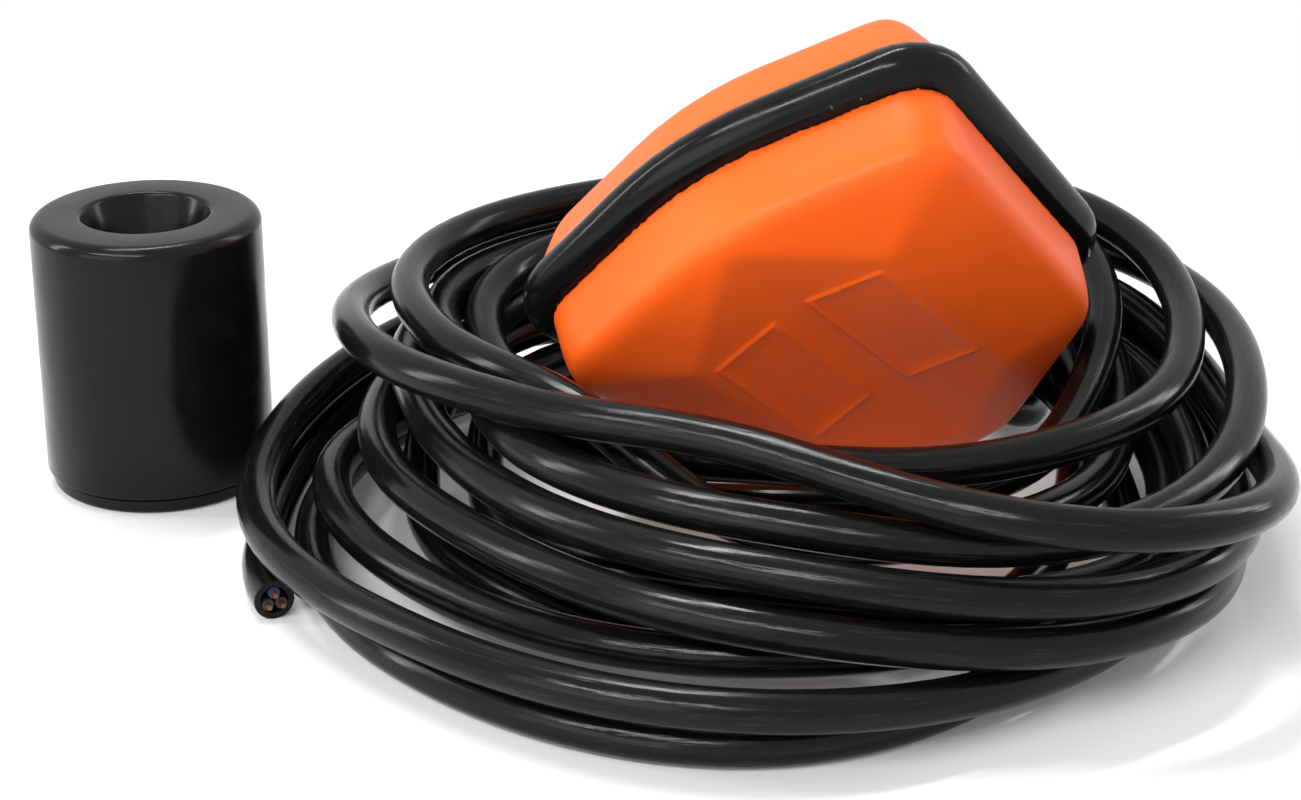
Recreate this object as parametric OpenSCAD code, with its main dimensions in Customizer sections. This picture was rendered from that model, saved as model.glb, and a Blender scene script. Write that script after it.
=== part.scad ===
// Cable float switch: a tilting float on a coil of rubber cable, with its counterweight.
// Origin: the centre of the counterweight's base, +Z up, millimetres.

/* [Float] */
// Length of the float from its nose to its cable end
float_len = 125; // [110:1:150]
// Width of the float across its widest corners
float_w = 120; // [106:1:144]
// Depth of the front shell from the seam to its ridges
front_depth = 26.5; // [24:0.5:34]
// Depth of the rear shell from the seam to its back
rear_depth = 25; // [23:0.5:32]
// Wall of both float shells
shell_wall = 3; // [2:0.25:4]

/* [Seam band] */
// Width of the rubber band over the seam
band_w = 10.8; // [8:0.2:14]
// How far the band's middle lies behind the seam
band_back = 2.9; // [0:0.1:4]
// Depth of the seat that the band fills in the shells
band_depth = 8; // [7:0.5:9]
// How far the band's edges lie inside its middle
band_crown = 3.6; // [2:0.1:5]

/* [Cable] */
// Outside diameter of the rubber cable
cable_d = 9; // [7.5:0.1:10.8]
// Diameter of each insulated core
core_d = 2.8; // [2:0.1:3]
// Bare copper on each core at the cut end
copper_d = 1.2; // [0.8:0.1:1.6]
// How far the cores show beyond the cut sheath
core_show = 2; // [0:0.5:6]

/* [Cable entry] */
// Length of the rubber boot outside the float
boot_len = 6; // [4:0.5:12]
// Diameter of the boot where it leaves the float
boot_d = 15; // [12:0.5:18]
// Diameter of the flange that keeps the boot in the shells
boot_flange_d = 20; // [18:0.5:24]

/* [Switch case] */
// Length of the sealed case inside the float
case_len = 70; // [64:1:76]
// Width of the sealed case
case_w = 46; // [42:1:52]
// Height of the sealed case with its lid
case_h = 30; // [28:1:34]
// Wall of the sealed case
case_wall = 2.5; // [2:0.25:3]
// Diameter of the rolling steel ball
ball_d = 14; // [11:0.5:16]
// How far the ball rolls along its track
ball_travel = 18; // [12:1:20]
// Angle that the ball turns the lever through
lever_swing = 10; // [6:1:12]
// How far the switch plunger is pressed
plunger_stroke = 0.8; // [0.4:0.1:1.5]

/* [Counterweight] */
// Diameter of the counterweight
weight_d = 54; // [46:1:64]
// Height of the counterweight
weight_h = 66; // [56:1:78]
// Diameter of the bore that the cable runs through
weight_bore_d = 10; // [9.5:0.1:12]
// Diameter of the funnel's mouth
funnel_d = 29.6; // [24:0.2:36]
// Depth of the funnel
funnel_depth = 27; // [20:1:36]
// Rounding of the counterweight's top edge
weight_round = 3; // [1:0.5:5]
// Height of the base cap
base_h = 4; // [3:0.5:6]
// How far the base cap lies inside the shell
base_inset = 1.2; // [0.5:0.1:3]

/* [Fits] */
// Clearance between fixed pieces that fit together
fit_gap = 0.1; // [0.05:0.05:0.3]
// Clearance round pieces that move
run_gap = 0.2; // [0.1:0.05:0.4]

/* [Hidden] */
$fn = 48;
ORANGE = "orangered";
RUBBER = "#1b1b1d";

// ---- the lay: the loops grow with the largest of the sizes that they must leave room for
lay = max(cable_d / 9, float_len / 125, float_w / 120, front_depth / 26.5, rear_depth / 25);
drop = [0, 0, 4.5 * lay - cable_d / 2];
coil_mid = [weight_d / 2 + 114.2 * lay, -40.3 * lay, 0];

// ---- where the float stands: its nose at float_at, its face turned by float_turn
float_at = coil_mid + [-17, -14.7, 96.7] * lay - drop;
float_turn = [131.5, 38.7, 40.7];

module in_float() {
    translate(float_at) rotate(float_turn) children();
}

// ---- the float's plan: half its corners and their rounding, nose first
sx = float_len / 125;
sy = float_w / 119.6;
plan_half = [[13.2 * sx, 59.8 * sy, 17], [98.9 * sx, 51.6 * sy, 20], [float_len, 9.8 * sy, 8]];
plan = concat([[-2.5 * sx, 0, 80]],
    [for (p = plan_half) p],
    [for (i = [2:-1:0]) [plan_half[i][0], -plan_half[i][1], plan_half[i][2]]]);
ARC_STEPS = 6;

function unit(v) = v / norm(v);
function plan_at(i) = let (n = len(plan)) plan[(i + n) % n];

// Points of the plan drawn inset by d, each corner as an arc
function outline(d) = [
    for (i = [0:len(plan) - 1])
        let (
            p = [plan_at(i)[0], plan_at(i)[1]],
            a = unit([plan_at(i - 1)[0], plan_at(i - 1)[1]] - p),
            b = unit([plan_at(i + 1)[0], plan_at(i + 1)[1]] - p),
            half = acos(a * b) / 2,
            r = max(plan_at(i)[2] - d, 0.5),
            c = p + unit(a + b) * (d + r) / sin(half),
            mid = atan2(-(a + b)[1], -(a + b)[0]),
            sweep = 90 - half
        )
        for (k = [0:ARC_STEPS])
            let (t = mid + sweep * (1 - 2 * k / ARC_STEPS))
            c + r * [cos(t), sin(t)]
];

// The flats between rings k and j of a loft, each ring with n points
function strip(n, k, j) = [
    for (i = [0:n - 1])
        let (next = (i + 1) % n)
        [k * n + i, k * n + next, j * n + next, j * n + i]
];
function ring_points(rings) = [for (r = rings) for (p = outline(r[0])) [p[0], p[1], r[1]]];

// ---- shells: rings give an inset and a height; the front face runs to ridges with a shallow valley
band_front = band_w / 2 - band_back;
band_rear = band_w / 2 + band_back;
front_inset = 5.9;
edge_inset = band_crown + 0.3;
shoulder_inset = 6.8;
shoulder_z = front_depth - 6.5;
rear_inset = 12;
ridge = [
    [10.3 * sx, 0, front_depth - 5.2],
    [33.6 * sx, 26 * sy, front_depth],
    [86.3 * sx, 23.6 * sy, front_depth],
    [109.6 * sx, 0, front_depth - 4]
];
valley_rise = atan2(ridge[3][2] - ridge[0][2], ridge[3][0] - ridge[0][0]);
valley_slope = atan2(front_depth - ridge[0][2] - 0.6, ridge[1][1]);

ridge_all = [ridge[0], ridge[1], ridge[2], ridge[3], ridge_far(2), ridge_far(1)];
function ridge_far(i) = [ridge[i][0], -ridge[i][1], ridge[i][2]];
CORNER_RIDGE = [0, 1, 2, 3, 3, 4, 5];

// The faces from a ring that starts at point a to the ridge points that start at point b
function ridge_faces(a, b, flip) =
    let (
        n = len(outline(0)),
        m = ARC_STEPS + 1,
        rim = [
            for (i = [0:n - 1])
                let (
                    j = (i + 1) % n,
                    v = b + CORNER_RIDGE[floor(i / m)],
                    w = b + CORNER_RIDGE[floor(j / m)]
                )
                for (f = v == w ? [[a + i, a + j, v]] : [[a + i, a + j, v], [a + j, w, v]]) f
        ],
        top = [for (f = [[0, 1, 2], [0, 2, 3], [0, 3, 4], [0, 4, 5]]) f + [b, b, b]]
    )
    [for (f = concat(rim, top)) flip ? [f[2], f[1], f[0]] : f];

front_outer = [
    [band_depth, 0],
    [band_depth, band_front],
    [front_inset, band_front],
    [shoulder_inset, shoulder_z]
];
function inner_of(outer, w) = [
    [outer[3][0] + w, outer[3][1] - 0.8 * w],
    [outer[2][0] + w + 1, outer[2][1] + w],
    [outer[0][0] + w, outer[1][1] + 1],
    [outer[0][0] + w, 0]
];

module front_form() {
    n = len(outline(0));
    rings = concat(front_outer, inner_of(front_outer, shell_wall));
    ridge_in = [for (p = ridge_all) p - [0, 0, shell_wall * 1.05]];
    faces = concat(
        [for (k = [0, 1, 2, 4, 5, 6]) for (f = strip(n, k, k + 1)) f],
        strip(n, 7, 0),
        ridge_faces(3 * n, 8 * n, false),
        ridge_faces(4 * n, 8 * n + 6, true)
    );
    polyhedron(points = concat(ring_points(rings), ridge_all, ridge_in), faces = faces, convexity = 10);
}

rear_outer = [[band_depth, 0], [band_depth, band_rear], [edge_inset, band_rear], [rear_inset, rear_depth]];
module rear_form() {
    n = len(outline(0));
    rings = concat(rear_outer, [[rear_inset + shell_wall - 1, rear_depth - shell_wall]],
        [for (k = [1:3]) inner_of(rear_outer, shell_wall)[k]]);
    faces = concat(
        [for (k = [0, 1, 2, 4, 5, 6]) for (f = strip(n, k, k + 1)) f],
        strip(n, 7, 0),
        [[for (i = [0:n - 1]) 3 * n + i]],
        [[for (i = [n - 1:-1:0]) 4 * n + i]]
    );
    mirror([0, 0, 1]) polyhedron(points = ring_points(rings), faces = faces, convexity = 10);
}

// A raised frame round a bare panel on one face of the front shell
frame_w = 1.2;
frame_raise = 0.7;
module label_frame(side, from, len, near, far) {
    translate(ridge[0]) rotate([0, -valley_rise, 0]) rotate([side * valley_slope, 0, 0])
        translate([from, side > 0 ? near : -far, -1])
            difference() {
                cube([len, far - near, 1 + frame_raise]);
                translate([frame_w, frame_w, 0])
                    cube([len - 2 * frame_w, far - near - 2 * frame_w, 2 + frame_raise]);
            }
}

wall_x = float_len - band_depth;            // outer face of the shells at the cable end
inner_x = wall_x - shell_wall;              // inner face there
boot_tip = float_len + boot_len;
post_d = 8;

module boot_hole() {
    translate([inner_x - 1, 0, 0]) rotate([0, 90, 0]) cylinder(d = boot_d + 2 * fit_gap, h = 20);
}

module front_shell() {
    color(ORANGE) in_float() {
        difference() {
            union() {
                front_form();
                label_frame(1, 26, 40, 3.5, 22.5);
                label_frame(-1, 26.5, 38, 6, 22.5);
            }
            boot_hole();
        }
        for (x = post_x, y = post_y)
            translate([x, y, case_top]) cylinder(d = post_d, h = post_top - case_top);
    }
}

module rear_shell() {
    color(ORANGE) in_float() {
        difference() {
            rear_form();
            boot_hole();
        }
        for (x = post_x, y = post_y)
            translate([x, y, post_foot]) cylinder(d = post_d, h = case_bottom - post_foot);
    }
}

BAND_RINGS = 8;
module seam_band() {
    n = len(outline(0));
    outer = [
        for (k = [0:BAND_RINGS])
            let (t = 2 * k / BAND_RINGS - 1)
            [band_crown * t * t, t * band_w / 2 - band_back]
    ];
    rings = concat([[band_depth, -band_rear]], outer, [[band_depth, band_front]]);
    m = len(rings);
    color(RUBBER) in_float() difference() {
        polyhedron(points = ring_points(rings),
            faces = [for (k = [0:m - 1]) for (f = strip(n, k, (k + 1) % m)) f], convexity = 10);
        boot_hole();
    }
}

// ---- cable entry: the boot's flange has flat sides and lies behind the shells' wall
flange_t = 3;
flange_half = max([for (p = outline(band_depth + shell_wall)) if (p[0] > inner_x - 0.1) p[1]]) - 0.3;
module cable_boot() {
    color(RUBBER) in_float() rotate([0, 90, 0]) difference() {
        union() {
            intersection() {
                translate([0, 0, inner_x - flange_t - 0.3]) cylinder(d = boot_flange_d, h = flange_t);
                translate([-boot_d, -flange_half, 0]) cube([2 * boot_d, 2 * flange_half, boot_tip]);
            }
            translate([0, 0, inner_x - 1]) cylinder(d = boot_d, h = float_len - inner_x + 1);
            translate([0, 0, float_len]) cylinder(d1 = boot_d, d2 = cable_d + 3, h = boot_len);
        }
        translate([0, 0, inner_x - 10]) cylinder(d = cable_d + 2 * fit_gap, h = 60);
    }
}

module cable_entry() {
    color(RUBBER) in_float() translate([sheath_end, 0, 0]) rotate([0, 90, 0])
        cylinder(d = cable_d, h = boot_tip - sheath_end);
}

// ---- sealed switch case
case_x = (float_len - case_len) / 2 + 2.5;
case_far = case_x + case_len;
case_bottom = -16;
case_top = case_bottom + case_h;
lid_t = 3;
gasket_t = 1;
rim_z = case_top - lid_t - gasket_t;
floor_z = case_bottom + case_wall;
post_x = [case_x + 12, case_far - 12];
post_y = [-case_w / 2 + 7, case_w / 2 - 7];
post_top = ridge[0][2] + post_y[1] * tan(valley_slope) - shell_wall / 2;
post_foot = -rear_depth + shell_wall / 2;
boss_d = 7;
boss_x = [case_x + boss_d / 2, case_far - boss_d / 2];
boss_y = [-case_w / 2 + boss_d / 2, case_w / 2 - boss_d / 2];
case_screw_d = 3;
entry_d = cable_d + 3;
clamp_x = case_far - case_wall - 8.5;
clamp_t = 7;
clamp_w = 26;
clamp_screw_y = clamp_w / 2 - 3.5;
sheath_end = clamp_x - 0.7;

module case_plan() {
    translate([case_x, -case_w / 2]) square([case_len, case_w]);
}

module case_room() {
    translate([case_x + case_wall, -case_w / 2 + case_wall])
        square([case_len - 2 * case_wall, case_w - 2 * case_wall]);
}

module case_bosses(d, h) {
    for (x = boss_x, y = boss_y) translate([x, y, 0]) cylinder(d = d, h = h);
}

module clamp_bore() {
    translate([clamp_x - 1, 0, 0]) rotate([0, 90, 0]) cylinder(d = cable_d + 2 * fit_gap, h = clamp_t + 2);
}

module case_base() {
    color("lightgray") in_float() difference() {
        translate([0, 0, case_bottom]) linear_extrude(rim_z - case_bottom) case_plan();
        difference() {
            translate([0, 0, floor_z]) linear_extrude(case_h) case_room();
            translate([0, 0, case_bottom]) case_bosses(boss_d, case_h);
            translate([clamp_x, -clamp_w / 2, floor_z - 1])
                cube([clamp_t, clamp_w, 1 - floor_z - clamp_gap]);
        }
        translate([0, 0, rim_z - 12]) case_bosses(case_screw_d, 20);
        clamp_bore();
        translate([case_far - case_wall - 1, 0, 0]) rotate([0, 90, 0])
            cylinder(d = entry_d, h = case_wall + 2);
        for (y = [-1, 1] * clamp_screw_y)
            translate([clamp_x + clamp_t / 2, y, floor_z + 1]) cylinder(d = clamp_screw_d, h = 20);
    }
}

module case_gasket() {
    color("dimgray") in_float() translate([0, 0, rim_z]) difference() {
        linear_extrude(gasket_t) case_plan();
        difference() {
            translate([0, 0, -1]) linear_extrude(gasket_t + 2) case_room();
            translate([0, 0, -1]) case_bosses(boss_d, gasket_t + 2);
        }
        translate([0, 0, -1]) case_bosses(case_screw_d + 2 * fit_gap, gasket_t + 2);
    }
}

module case_lid() {
    color("lightgray") in_float() translate([0, 0, rim_z + gasket_t]) difference() {
        linear_extrude(lid_t) case_plan();
        translate([0, 0, -1]) case_bosses(case_screw_d + 2 * fit_gap, lid_t + 2);
        translate([0, 0, lid_t - screw_head_h]) case_bosses(screw_head_d + 2 * fit_gap, lid_t);
    }
}

screw_head_d = 5.6;
screw_head_h = 2;
clamp_screw_d = 2.5;
clamp_head_d = 4.6;
clamp_gap = 0.4;
clamp_top = cable_d / 2 + 2.5;

module case_screws() {
    color("silver") in_float() for (x = boss_x, y = boss_y) translate([x, y, 0]) {
        translate([0, 0, rim_z - 10]) cylinder(d = case_screw_d, h = 10 + gasket_t + lid_t - screw_head_h);
        translate([0, 0, case_top - screw_head_h]) cylinder(d = screw_head_d, h = screw_head_h);
    }
}

module cable_clamp() {
    color("lightgray") in_float() difference() {
        translate([clamp_x, -clamp_w / 2, clamp_gap]) cube([clamp_t, clamp_w, clamp_top - clamp_gap]);
        clamp_bore();
        for (y = [-1, 1] * clamp_screw_y)
            translate([clamp_x + clamp_t / 2, y, -1]) cylinder(d = clamp_screw_d + 2 * fit_gap, h = 20);
    }
}

module clamp_screws() {
    color("silver") in_float() for (y = [-1, 1] * clamp_screw_y) translate([clamp_x + clamp_t / 2, y, 0]) {
        translate([0, 0, -8]) cylinder(d = clamp_screw_d, h = 8 + clamp_top);
        translate([0, 0, clamp_top]) cylinder(d = clamp_head_d, h = 1.6);
    }
}

module entry_grommet() {
    color(RUBBER) in_float() translate([case_far, 0, 0]) rotate([0, 90, 0]) difference() {
        union() {
            translate([0, 0, -case_wall]) cylinder(d = entry_d, h = case_wall + 0.5);
            cylinder(d = entry_d + 4, h = 1.5);
        }
        translate([0, 0, -10]) cylinder(d = cable_d + 2 * fit_gap, h = 20);
    }
}

// ---- ball and lever: the ball rolls towards the nose and lifts the lever off the switch
ball_y = -10;
ball_r = ball_d / 2;
channel_r = ball_r + run_gap;
track_floor = 1;
ball_z = floor_z + track_floor + channel_r;
track_far = case_far - 18;
track_end = 2;
ball_x = track_far - channel_r;
track_near = ball_x - ball_travel - channel_r - track_end;
track_top = ball_z + 3;
track_w = 2 * channel_r + 2.6;
pin_d = 2.5;
pin_gap = 0.05;
pin_x = track_far + 3;
lever_t = 2;
lever_w = 6;
lever_rest = 0.6;
lever_reach = pin_x - track_near - track_end - 1.4;      // short of the track's end wall
lever_arm = pin_x - ball_x;
pin_z = ball_z + (ball_r + lever_rest + lever_arm * sin(lever_swing)) / cos(lever_swing);
ear_t = 3;
ear_r = 3;
ear_y = [ball_y - lever_w / 2 - run_gap - ear_t, ball_y + lever_w / 2 + run_gap];
hub_r = 3;
touch_x = track_far - 24;
touch_arm = pin_x - touch_x;
touch_z = pin_z - touch_arm * tan(lever_swing);

module across(y, h, d) {
    translate([0, y, 0]) rotate([-90, 0, 0]) cylinder(d = d, h = h);
}

module ball_track() {
    color("whitesmoke") in_float() difference() {
        union() {
            translate([track_near, ball_y - track_w / 2, floor_z])
                cube([track_far + track_end - track_near, track_w, track_top - floor_z]);
            for (y = ear_y) {
                translate([pin_x - ear_r, y, floor_z]) cube([2 * ear_r, ear_t, pin_z - floor_z]);
                translate([pin_x, 0, pin_z]) across(y, ear_t, 2 * ear_r);
            }
        }
        translate([track_near + track_end, ball_y, ball_z]) rotate([0, 90, 0])
            cylinder(r = channel_r, h = track_far - track_near - track_end);
        translate([track_near + track_end, ball_y - channel_r, ball_z])
            cube([track_far - track_near - track_end, 2 * channel_r, 30]);
        translate([pin_x, ball_y - 15, pin_z]) across(0, 30, pin_d);
    }
}

module steel_ball() {
    color("silver") in_float() translate([ball_x, ball_y, ball_z]) sphere(d = ball_d);
}

module lever_pin() {
    color("silver") in_float() translate([pin_x, ball_y - lever_w / 2 - run_gap - ear_t, pin_z])
        across(0, lever_w + 2 * run_gap + 2 * ear_t, pin_d);
}

module lever() {
    color("gold") in_float() translate([pin_x, 0, pin_z]) difference() {
        rotate([0, -lever_swing, 0]) union() {
            translate([-lever_reach, ball_y - lever_w / 2, 0]) cube([lever_reach, lever_w, lever_t]);
            translate([-touch_arm / cos(lever_swing) - 2, ball_y, 0])
                cube([4, switch_y + switch_t / 2 + 2 - ball_y, lever_t]);
            translate([0, ball_y - lever_w / 2, 0]) across(0, lever_w, 2 * hub_r);
        }
        translate([0, ball_y - 15, 0]) across(0, 30, pin_d + 2 * pin_gap);
    }
}

// ---- microswitch: its plunger is held down by the lever and comes up when the ball lifts the lever
switch_l = 20;
switch_t = 6.4;
switch_y = 4;
switch_x = touch_x - 9;
switch_top = touch_z - 2.4;
switch_wall = 1.2;
cover_t = 1.2;
plunger_d = 2.4;
plunger_low = switch_top - switch_wall - plunger_stroke - 1.2;
blade_t = 0.4;
blade_z = plunger_low - 0.15 - blade_t;
blade_x = switch_x + switch_l - 2.5;
blade_len = switch_l - 7;
terminal_t = 0.8;
terminal_w = 3;
terminal_out = 6;
terminal_step = 3.2;
terminal_z = [for (k = [0:2]) floor_z + 1.4 + k * terminal_step];
plunger_x = touch_x;
plunger_y = switch_y + switch_t / 2;

module switch_body() {
    color("black") in_float() difference() {
        translate([switch_x, switch_y, floor_z]) cube([switch_l, switch_t - cover_t, switch_top - floor_z]);
        translate([switch_x + switch_wall, switch_y + switch_wall, floor_z + switch_wall])
            cube([switch_l - 2 * switch_wall, switch_t, switch_top - floor_z - 2 * switch_wall]);
        translate([plunger_x, plunger_y, floor_z + 5]) cylinder(d = plunger_d + 2 * run_gap, h = 40);
        terminal_slots(fit_gap);
    }
}

module switch_cover() {
    color("dimgray") in_float() difference() {
        translate([switch_x, switch_y + switch_t - cover_t, floor_z])
            cube([switch_l, cover_t, switch_top - floor_z]);
        translate([plunger_x, plunger_y, floor_z + 5]) cylinder(d = plunger_d + 2 * run_gap, h = 40);
    }
}

module terminal_slots(gap) {
    for (z = terminal_z)
        translate([switch_x - terminal_out, switch_y + switch_t / 2 - terminal_w / 2 - gap, z - gap])
            cube([terminal_out + 3, terminal_w + 2 * gap, terminal_t + 2 * gap]);
}

module contact_terminals() {
    color("gold") in_float() difference() {
        terminal_slots(0);
        translate([switch_x, switch_y + switch_t - cover_t, floor_z]) cube([9, 9, 30]);
    }
}

module switch_plunger() {
    color("red") in_float() translate([plunger_x, plunger_y, plunger_low])
        cylinder(d = plunger_d, h = touch_z - 0.3 - plunger_low);
}

module contact_blade() {
    color("gold") in_float() translate([blade_x - blade_len, plunger_y - 1, blade_z])
        cube([blade_len, 2, blade_t]);
}

// ---- counterweight
weight_r = weight_d / 2;
weight_wall = 3;
tube_r = weight_bore_d / 2 + 3;
bore_top = weight_h - funnel_depth;
base_groove = 0.8;
lip_r = 1.5;

module weight_shell() {
    color(RUBBER) rotate_extrude($fn = 96) polygon(concat(
        [
            [weight_bore_d / 2, bore_top], [weight_bore_d / 2, 0], [tube_r, 0], [tube_r, bore_top - 3],
            [funnel_d / 2 + weight_wall, weight_h - weight_wall - 2],
            [weight_r - weight_wall, weight_h - weight_wall - 2],
            [weight_r - weight_wall, base_h], [weight_r - 0.5, base_h], [weight_r, base_h + 1]
        ],
        [
            for (a = [0:15:90])
                [weight_r - weight_round * (1 - cos(a)), weight_h - weight_round * (1 - sin(a))]
        ],
        [[funnel_d / 2 + lip_r, weight_h], [funnel_d / 2, weight_h - lip_r]]
    ));
}

spigot_h = 6;
module weight_base() {
    color(RUBBER) rotate_extrude($fn = 96) polygon([
        [tube_r + fit_gap, 0], [weight_r - base_inset - 1.3, 0],
        [weight_r - base_inset, base_h - base_groove],
        [weight_r - base_inset - 1, base_h], [weight_r - weight_wall - fit_gap, base_h],
        [weight_r - weight_wall - fit_gap, base_h + spigot_h], [tube_r + fit_gap, base_h + spigot_h]
    ]);
}

ballast_h = 24;
module weight_ballast() {
    color("gray") translate([0, 0, base_h + spigot_h]) difference() {
        cylinder(r = weight_r - weight_wall - 2 * fit_gap, h = ballast_h, $fn = 96);
        translate([0, 0, -1]) cylinder(r = tube_r + 2 * fit_gap, h = ballast_h + 2);
    }
}

// ---- cable: each row is one turn, clockwise from the left, and gives the radius and the height
// of the cable at eight places round the turn
PLACES = 8;
RINGS = 24;
SIDES = 6;
turns = [
    [110, 4.5], [111, 14.5], [109.5, 14.5], [111, 14.5], [98, 5], [98, 7], [110, 14.5], [105, 14.5],
    [113, 14.5], [111, 24.5], [110, 26.5], [120.5, 20], [107, 9.3], [110, 16.3], [96, 25.5], [80, 26],
    [85, 25], [98, 23.5], [99, 25], [112, 27], [109, 19.7], [112, 27], [90, 35], [73, 34],
    [75, 34], [99, 33.2], [101, 35], [112, 37], [109, 29.8], [122, 43], [69, 52], [66, 52],
    [88, 50], [109, 40], [111, 44], [122, 43], [110.5, 42], [104, 37], [80.5, 41.6], [67, 42],
    [63, 42], [93.5, 41.8], [94, 44.3], [100.5, 39.8], [82.5, 24.3], [70, 26], [63, 31], [54, 49],
    [72, 52], [98, 51], [101, 53.5], [116, 54], [96, 43], [69, 41], [54, 43], [42.5, 35],
    [51, 35], [81.5, 44.5], [83.5, 50.8], [104.7, 53], [72.5, 31.5], [58, 30], [49, 31], [41, 25],
    [43, 25], [84, 34.4], [87.3, 36.6], [91.5, 34.5], [74, 18.5], [72, 8], [68, 6], [66, 6],
    [75, 8], [88, 24], [88.5, 26.6], [101.6, 28.7], [99.4, 23.2], [99.5, 23.5], [80, 26], [64, 17],
    [60, 10], [77.5, 18.3], [96, 13.6], [100.2, 18.8], [94.4, 14.5], [89, 14], [88, 15], [84, 12],
    [96, 15.5], [92, 11], [90, 4.5], [89.5, 21.9], [86.3, 4.8], [87, 4.5], [105, 4.5], [101, 4.5],
    [100, 4.5], [104, 4.5], [110, 4.5]
];

// A smooth curve through four values, from b to c as t goes from 0 to 1
function blend4(a, b, c, d, t) =
    b + 0.5 * t * (c - a + t * (2 * a - 5 * b + 4 * c - d + t * (3 * (b - c) + d - a)));

// The point of a list of points at u, counted from its first
function along(list, u) =
    let (
        n = len(list),
        i = min(max(floor(u), 0), n - 2)
    )
    blend4(list[max(i - 1, 0)], list[i], list[i + 1], list[min(i + 2, n - 1)], u - i);

function coil_at(u) =
    let (p = along(turns, u) * lay, a = 180 - 360 * u / PLACES)
    coil_mid + [p[0] * cos(a), p[0] * sin(a), max(p[1] - drop[2], cable_d / 2)];

COIL_END = len(turns) - 1;
coil_steps = round(COIL_END * RINGS / PLACES);
coil_path = concat(
    [coil_at(0) + [0, -cable_d, 0]],
    [for (k = [0:coil_steps]) coil_at(k * COIL_END / coil_steps)],
    [coil_at(COIL_END) + [cable_d, 0, 0]]
);

// The least gap between the cable's surfaces where one turn passes another
GAP_STEP = 0.2;
function from_line(p, a, b) =
    let (v = b - a, t = (p - a) * v / (v * v))
    norm(p - a - v * min(max(t, 0), 1));
function least_gap() =
    let (
        fine = [for (u = [0:GAP_STEP:COIL_END]) coil_at(u)],
        last = len(fine) - 2,
        apart = 5 / GAP_STEP,
        near = [
            for (i = [0:last - apart])
                min([for (j = [i + apart:last]) from_line(fine[i], fine[j], fine[j + 1])])
        ]
    )
    min(near) - cable_d;

// A closed tube of sides flats swept along path, with straight ends
function way(path, i) =
    let (n = len(path))
    i == 0 ? unit(path[1] - path[0])
    : i == n - 1 ? unit(path[n - 1] - path[n - 2])
    : unit(unit(path[i] - path[i - 1]) + unit(path[i + 1] - path[i]));

module swept(path, d, sides) {
    n = len(path);
    rings = [
        for (i = [0:n - 1])
            let (w = way(path, i), s = unit(cross(w, [0, 0, 1])), u = cross(s, w))
            for (k = [0:sides - 1])
                let (a = 360 * (k + 0.5) / sides)
                path[i] + d / 2 * (s * cos(a) + u * sin(a))
    ];
    caps = [path[0], path[n - 1]];
    sidesf = [
        for (i = [0:n - 2], k = [0:sides - 1])
            let (a = i * sides + k, b = i * sides + (k + 1) % sides)
            for (f = [[a, b, b + sides], [a, b + sides, a + sides]]) f
    ];
    ends = [
        for (k = [0:sides - 1], f = [
            [n * sides, (k + 1) % sides, k],
            [n * sides + 1, (n - 1) * sides + k, (n - 1) * sides + (k + 1) % sides]
        ]) f
    ];
    polyhedron(points = concat(rings, caps), faces = concat(sidesf, ends), convexity = 10);
}

// Points of a free stretch, a step apart along its chosen points
STEP = 3;
function stretch(points) = [for (k = [0:(len(points) - 1) * STEP]) along(points, k / STEP)];

boot_end = float_spot([boot_tip, 0, 0]);
boot_away = unit(float_spot([boot_tip + 1, 0, 0]) - boot_end);
lead_run = [[34, 107, 4.5], [52, 99, 4.5], [66, 87, 4.5], [73, 75, 4.5], [72, 64, 6]];
lead_points = concat(
    [coil_at(COIL_END) + [2 * cable_d, 0, 0]],
    [for (p = lead_run) coil_mid + p * lay - drop],
    [boot_end + boot_away * cable_d]
);
tail_start = coil_at(0) + [0, -cable_d, 0];
tail_points = [[0, -8, 0], [0.5, -14, 0], [1.5, -20, 0], [3.5, -26, 0], [5.5, -31, 0]];

function turn_x(v, a) = [v[0], v[1] * cos(a) - v[2] * sin(a), v[1] * sin(a) + v[2] * cos(a)];
function turn_y(v, a) = [v[0] * cos(a) + v[2] * sin(a), v[1], -v[0] * sin(a) + v[2] * cos(a)];
function turn_z(v, a) = [v[0] * cos(a) - v[1] * sin(a), v[0] * sin(a) + v[1] * cos(a), v[2]];
function float_spot(v) = float_at + turn_z(turn_y(turn_x(v, float_turn[0]), float_turn[1]), float_turn[2]);

module cable_coil() {
    echo(least_gap = least_gap());
    color(RUBBER) swept(coil_path, cable_d, SIDES);
}

module cable_lead() {
    color(RUBBER) swept(concat([coil_at(COIL_END) + [cable_d, 0, 0]], stretch(lead_points), [boot_end]),
        cable_d, 8);
}

sheath_t = 1.4;
core_ring = core_d / sqrt(3) + 0.1;
bare_len = 8;
tail_path = concat([tail_start], [for (p = stretch(tail_points)) tail_start + p]);
tail_tip = tail_path[len(tail_path) - 1];
tail_way = way(tail_path, len(tail_path) - 1);
tail_yaw = atan2(tail_way[1], tail_way[0]);

module cable_tail() {
    color(RUBBER) difference() {
        swept(tail_path, cable_d, 8);
        translate(tail_tip) rotate([0, 90, tail_yaw]) translate([0, 0, -bare_len])
            cylinder(d = cable_d - 2 * sheath_t, h = 2 * bare_len);
    }
}

module cut_cores() {
    color("saddlebrown") translate(tail_tip) rotate([0, 90, tail_yaw]) for (a = [90, 210, 330])
        rotate(a) translate([core_ring, 0, -bare_len]) {
            cylinder(d = core_d - 0.2, h = bare_len + core_show - 3);
            cylinder(d = copper_d, h = bare_len + core_show);
        }
}

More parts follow.
